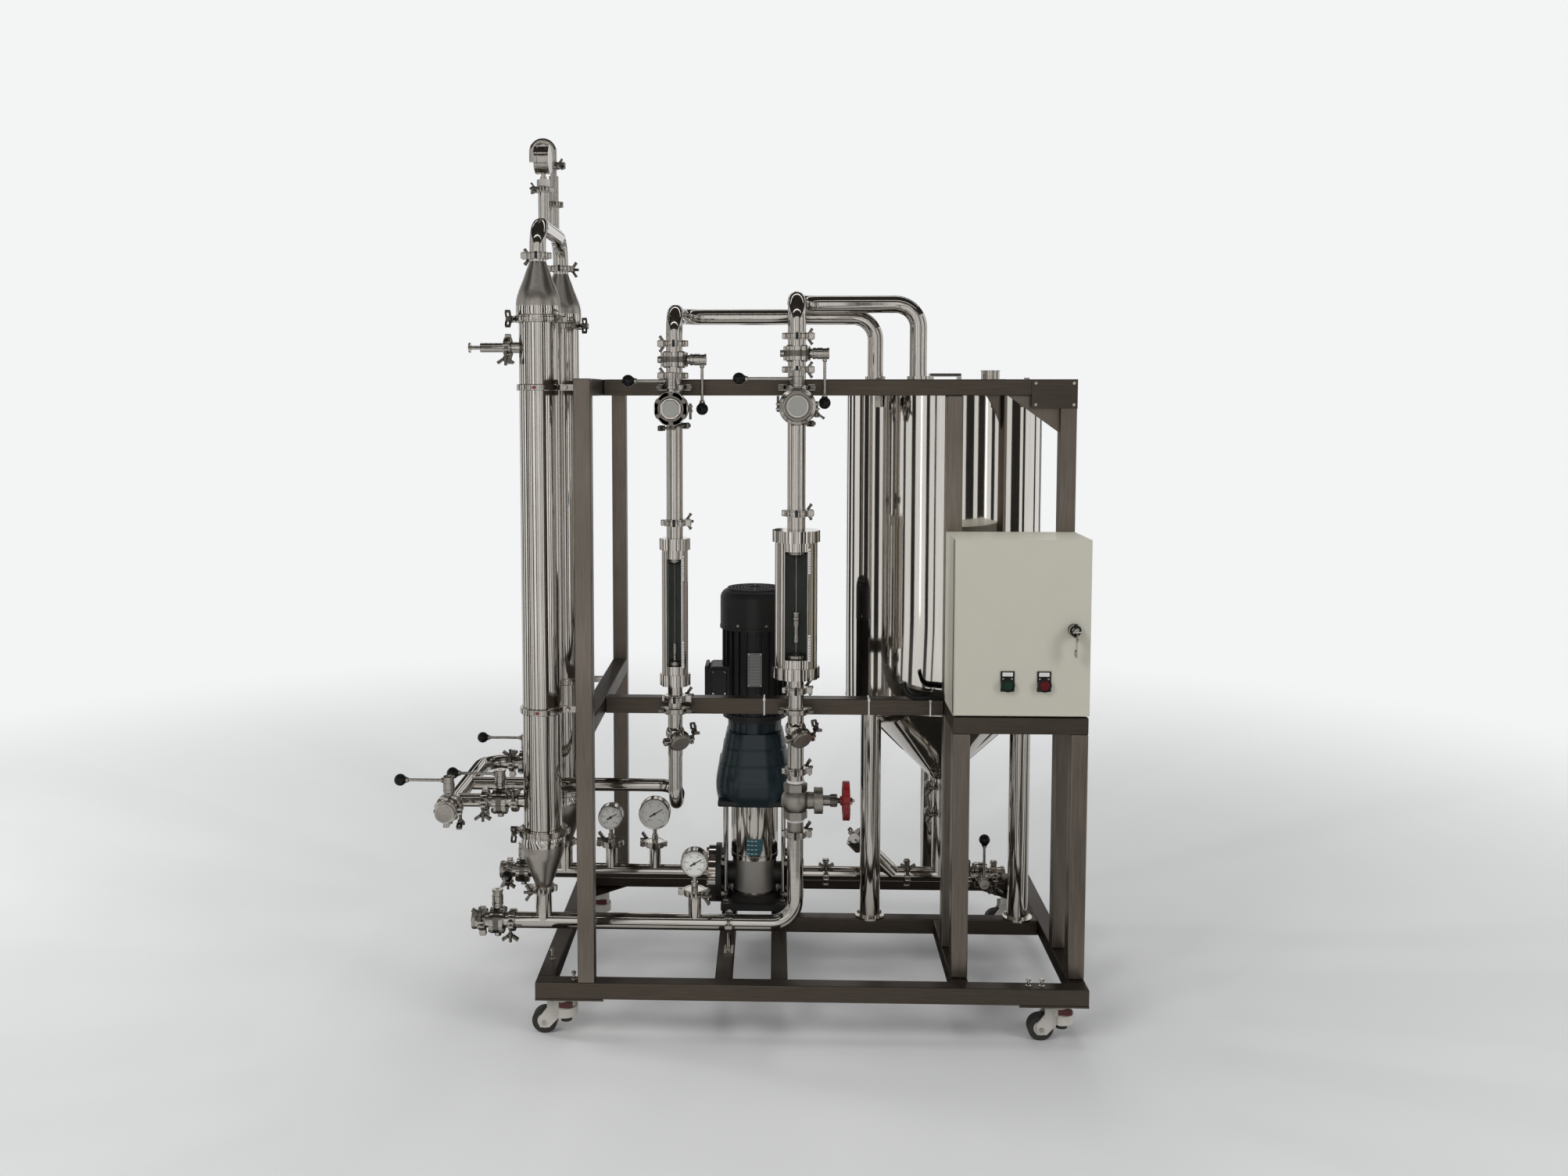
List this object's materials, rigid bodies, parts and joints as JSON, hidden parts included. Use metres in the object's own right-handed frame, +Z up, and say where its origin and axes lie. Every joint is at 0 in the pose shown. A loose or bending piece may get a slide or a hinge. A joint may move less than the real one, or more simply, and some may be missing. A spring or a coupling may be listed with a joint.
{
  "type": "membrane filtration unit",
  "caption": "Wheeled stainless frame with membrane columns, valved pipework, flow meters, a multistage pump, a cone-bottomed feed tank and a control cabinet.",
  "frame": {"origin": "middle of the unit's footprint, on the floor", "axes": "+Z up, +X to the right of someone facing the cabinet and flow meters, +Y away from them"},
  "size_m": [1.588, 0.7814, 2.088],
  "materials": {
    "frame_steel": "brushed satin",
    "polished_steel": "polished",
    "lever_steel": "satin, black knob",
    "meter_glass": "smoked",
    "red_paint": "gloss",
    "black_paint": "semi-gloss",
    "hood_paint": "semi-gloss",
    "cabinet_paint": "fine texture",
    "green_plastic": "gloss",
    "red_plastic": "gloss",
    "key_steel": "nickel",
    "caster_housing": "matt",
    "caster_tyre": "matt"
  },
  "bodies": {
    "unit": {"base_cross_rails": "frame_steel", "base_depth_rails": "frame_steel", "base_long_rails": "frame_steel", "bend_fittings": "polished_steel", "cabinet_body": "cabinet_paint", "column_bend": "polished_steel", "corner_plates": "frame_steel", "cross_rails": "frame_steel", "front_column": "polished_steel", "front_header": "polished_steel", "globe_valve": "polished_steel", "header_gauges": "polished_steel", "large_flow_meter": "polished_steel", "left_posts": "frame_steel", "left_rails": "frame_steel", "left_riser": "polished_steel", "manifold": "polished_steel", "meter_windows": "meter_glass", "permeate_pipe": "polished_steel", "pipe_brackets": "polished_steel", "pump_base": "black_paint", "pump_hood": "hood_paint", "pump_motor": "black_paint", "pump_stages": "polished_steel", "rear_column": "polished_steel", "rear_header": "polished_steel", "right_riser": "polished_steel", "small_flow_meter": "polished_steel", "suction_line": "polished_steel", "table_posts": "frame_steel", "table_top": "frame_steel", "tank_cone": "polished_steel", "tank_fittings": "polished_steel", "tank_legs": "polished_steel", "tank_lid": "polished_steel", "tank_shell": "polished_steel"},
    "door": {"cabinet_door": "cabinet_paint"},
    "start": {"start_button": "green_plastic"},
    "stop": {"stop_button": "red_plastic"},
    "key": {"door_key": "key_steel"},
    "handwheel": {"globe_handwheel": "red_paint"},
    "left_riser_lever": {"left_riser_lever": "lever_steel"},
    "right_riser_lever": {"right_riser_lever": "lever_steel"},
    "left_branch_lever": {"left_branch_lever": "lever_steel"},
    "right_branch_lever": {"right_branch_lever": "lever_steel"},
    "outlet_lever": {"outlet_lever": "lever_steel"},
    "front_port_lever": {"front_port_lever": "lever_steel"},
    "rear_port_lever": {"rear_port_lever": "lever_steel"},
    "front_header_lever": {"front_header_lever": "lever_steel"},
    "rear_header_lever": {"rear_header_lever": "lever_steel"},
    "drain_lever": {"drain_lever": "lever_steel"},
    "fork_front_left": {"caster_fork_front_left": "caster_housing"},
    "wheel_front_left": {"caster_wheel_front_left": "caster_tyre"},
    "fork_front_right": {"caster_fork_front_right": "caster_housing"},
    "wheel_front_right": {"caster_wheel_front_right": "caster_tyre"},
    "fork_rear_left": {"caster_fork_rear_left": "caster_housing"},
    "wheel_rear_left": {"caster_wheel_rear_left": "caster_tyre"},
    "fork_rear_right": {"caster_fork_rear_right": "caster_housing"},
    "wheel_rear_right": {"caster_wheel_rear_right": "caster_tyre"}
  },
  "joints": [
    {"name": "left_riser_lever_turn", "type": "hinge", "parent": "unit", "child": "left_riser_lever", "pos_m": [-0.141, -0.20075, 1.539], "axis": [-1, 0, 0], "range_deg": [0, 90]},
    {"name": "right_riser_lever_turn", "type": "hinge", "parent": "unit", "child": "right_riser_lever", "pos_m": [0.142, -0.20075, 1.553], "axis": [-1, 0, 0], "range_deg": [0, 90]},
    {"name": "left_branch_lever_turn", "type": "hinge", "parent": "unit", "child": "left_branch_lever", "pos_m": [-0.141, -0.29875, 1.427], "axis": [0, 0, 1], "range_deg": [0, 90]},
    {"name": "right_branch_lever_turn", "type": "hinge", "parent": "unit", "child": "right_branch_lever", "pos_m": [0.142, -0.29875, 1.432], "axis": [0, 0, 1], "range_deg": [0, 90]},
    {"name": "outlet_lever_turn", "type": "hinge", "parent": "unit", "child": "outlet_lever", "pos_m": [-0.666, -0.26075, 0.498], "axis": [0, 0, 1], "range_deg": [0, 90]},
    {"name": "front_port_lever_turn", "type": "hinge", "parent": "unit", "child": "front_port_lever", "pos_m": [-0.557, -0.20075, 0.498], "axis": [0, 0, -1], "range_deg": [0, 90]},
    {"name": "rear_port_lever_turn", "type": "hinge", "parent": "unit", "child": "rear_port_lever", "pos_m": [-0.557, 0.13925, 0.498], "axis": [0, 0, -1], "range_deg": [0, 90]},
    {"name": "front_header_lever_turn", "type": "hinge", "parent": "unit", "child": "front_header_lever", "pos_m": [-0.567, -0.20075, 0.208], "axis": [0, 0, 1], "range_deg": [0, 90]},
    {"name": "rear_header_lever_turn", "type": "hinge", "parent": "unit", "child": "rear_header_lever", "pos_m": [-0.567, 0.13925, 0.21], "axis": [0, 0, 1], "range_deg": [0, 90]},
    {"name": "drain_lever_turn", "type": "hinge", "parent": "unit", "child": "drain_lever", "pos_m": [0.629, 0.13925, 0.21], "axis": [0, -1, 0], "range_deg": [0, 90]},
    {"name": "handwheel_turn", "type": "hinge", "parent": "unit", "child": "handwheel", "pos_m": [0.261, -0.20075, 0.505], "axis": [1, 0, 0], "range_deg": [0, 1080]},
    {"name": "door_swing", "type": "hinge", "parent": "unit", "child": "door", "pos_m": [0.4935, -0.34075, 0.938], "axis": [0, 0, -1], "range_deg": [0, 120]},
    {"name": "key_turn", "type": "hinge", "parent": "door", "child": "key", "pos_m": [0.757, -0.36075, 0.938], "axis": [0, 1, 0], "range_deg": [0, 90]},
    {"name": "start_press", "type": "slide", "parent": "door", "child": "start", "axis": [0, 1, 0], "range_m": [0, 0.004], "stiffness_N_per_m": 400, "springref_m": -0.002},
    {"name": "stop_press", "type": "slide", "parent": "door", "child": "stop", "axis": [0, 1, 0], "range_m": [0, 0.004], "stiffness_N_per_m": 400, "springref_m": -0.002},
    {"name": "swivel_front_left", "type": "hinge", "parent": "unit", "child": "fork_front_left", "pos_m": [-0.39, -0.33475, 0.09], "axis": [0, 0, 1], "continuous": true},
    {"name": "roll_front_left", "type": "hinge", "parent": "fork_front_left", "child": "wheel_front_left", "pos_m": [-0.432, -0.33475, 0.029], "axis": [0, 1, 0], "continuous": true},
    {"name": "swivel_front_right", "type": "hinge", "parent": "unit", "child": "fork_front_right", "pos_m": [0.738, -0.33475, 0.09], "axis": [0, 0, 1], "continuous": true},
    {"name": "roll_front_right", "type": "hinge", "parent": "fork_front_right", "child": "wheel_front_right", "pos_m": [0.696, -0.33475, 0.029], "axis": [0, 1, 0], "continuous": true},
    {"name": "swivel_rear_left", "type": "hinge", "parent": "unit", "child": "fork_rear_left", "pos_m": [-0.39, 0.30125, 0.09], "axis": [0, 0, 1], "continuous": true},
    {"name": "roll_rear_left", "type": "hinge", "parent": "fork_rear_left", "child": "wheel_rear_left", "pos_m": [-0.432, 0.30125, 0.029], "axis": [0, 1, 0], "continuous": true},
    {"name": "swivel_rear_right", "type": "hinge", "parent": "unit", "child": "fork_rear_right", "pos_m": [0.738, 0.30125, 0.09], "axis": [0, 0, 1], "continuous": true},
    {"name": "roll_rear_right", "type": "hinge", "parent": "fork_rear_right", "child": "wheel_rear_right", "pos_m": [0.696, 0.30125, 0.029], "axis": [0, 1, 0], "continuous": true}
  ]
}
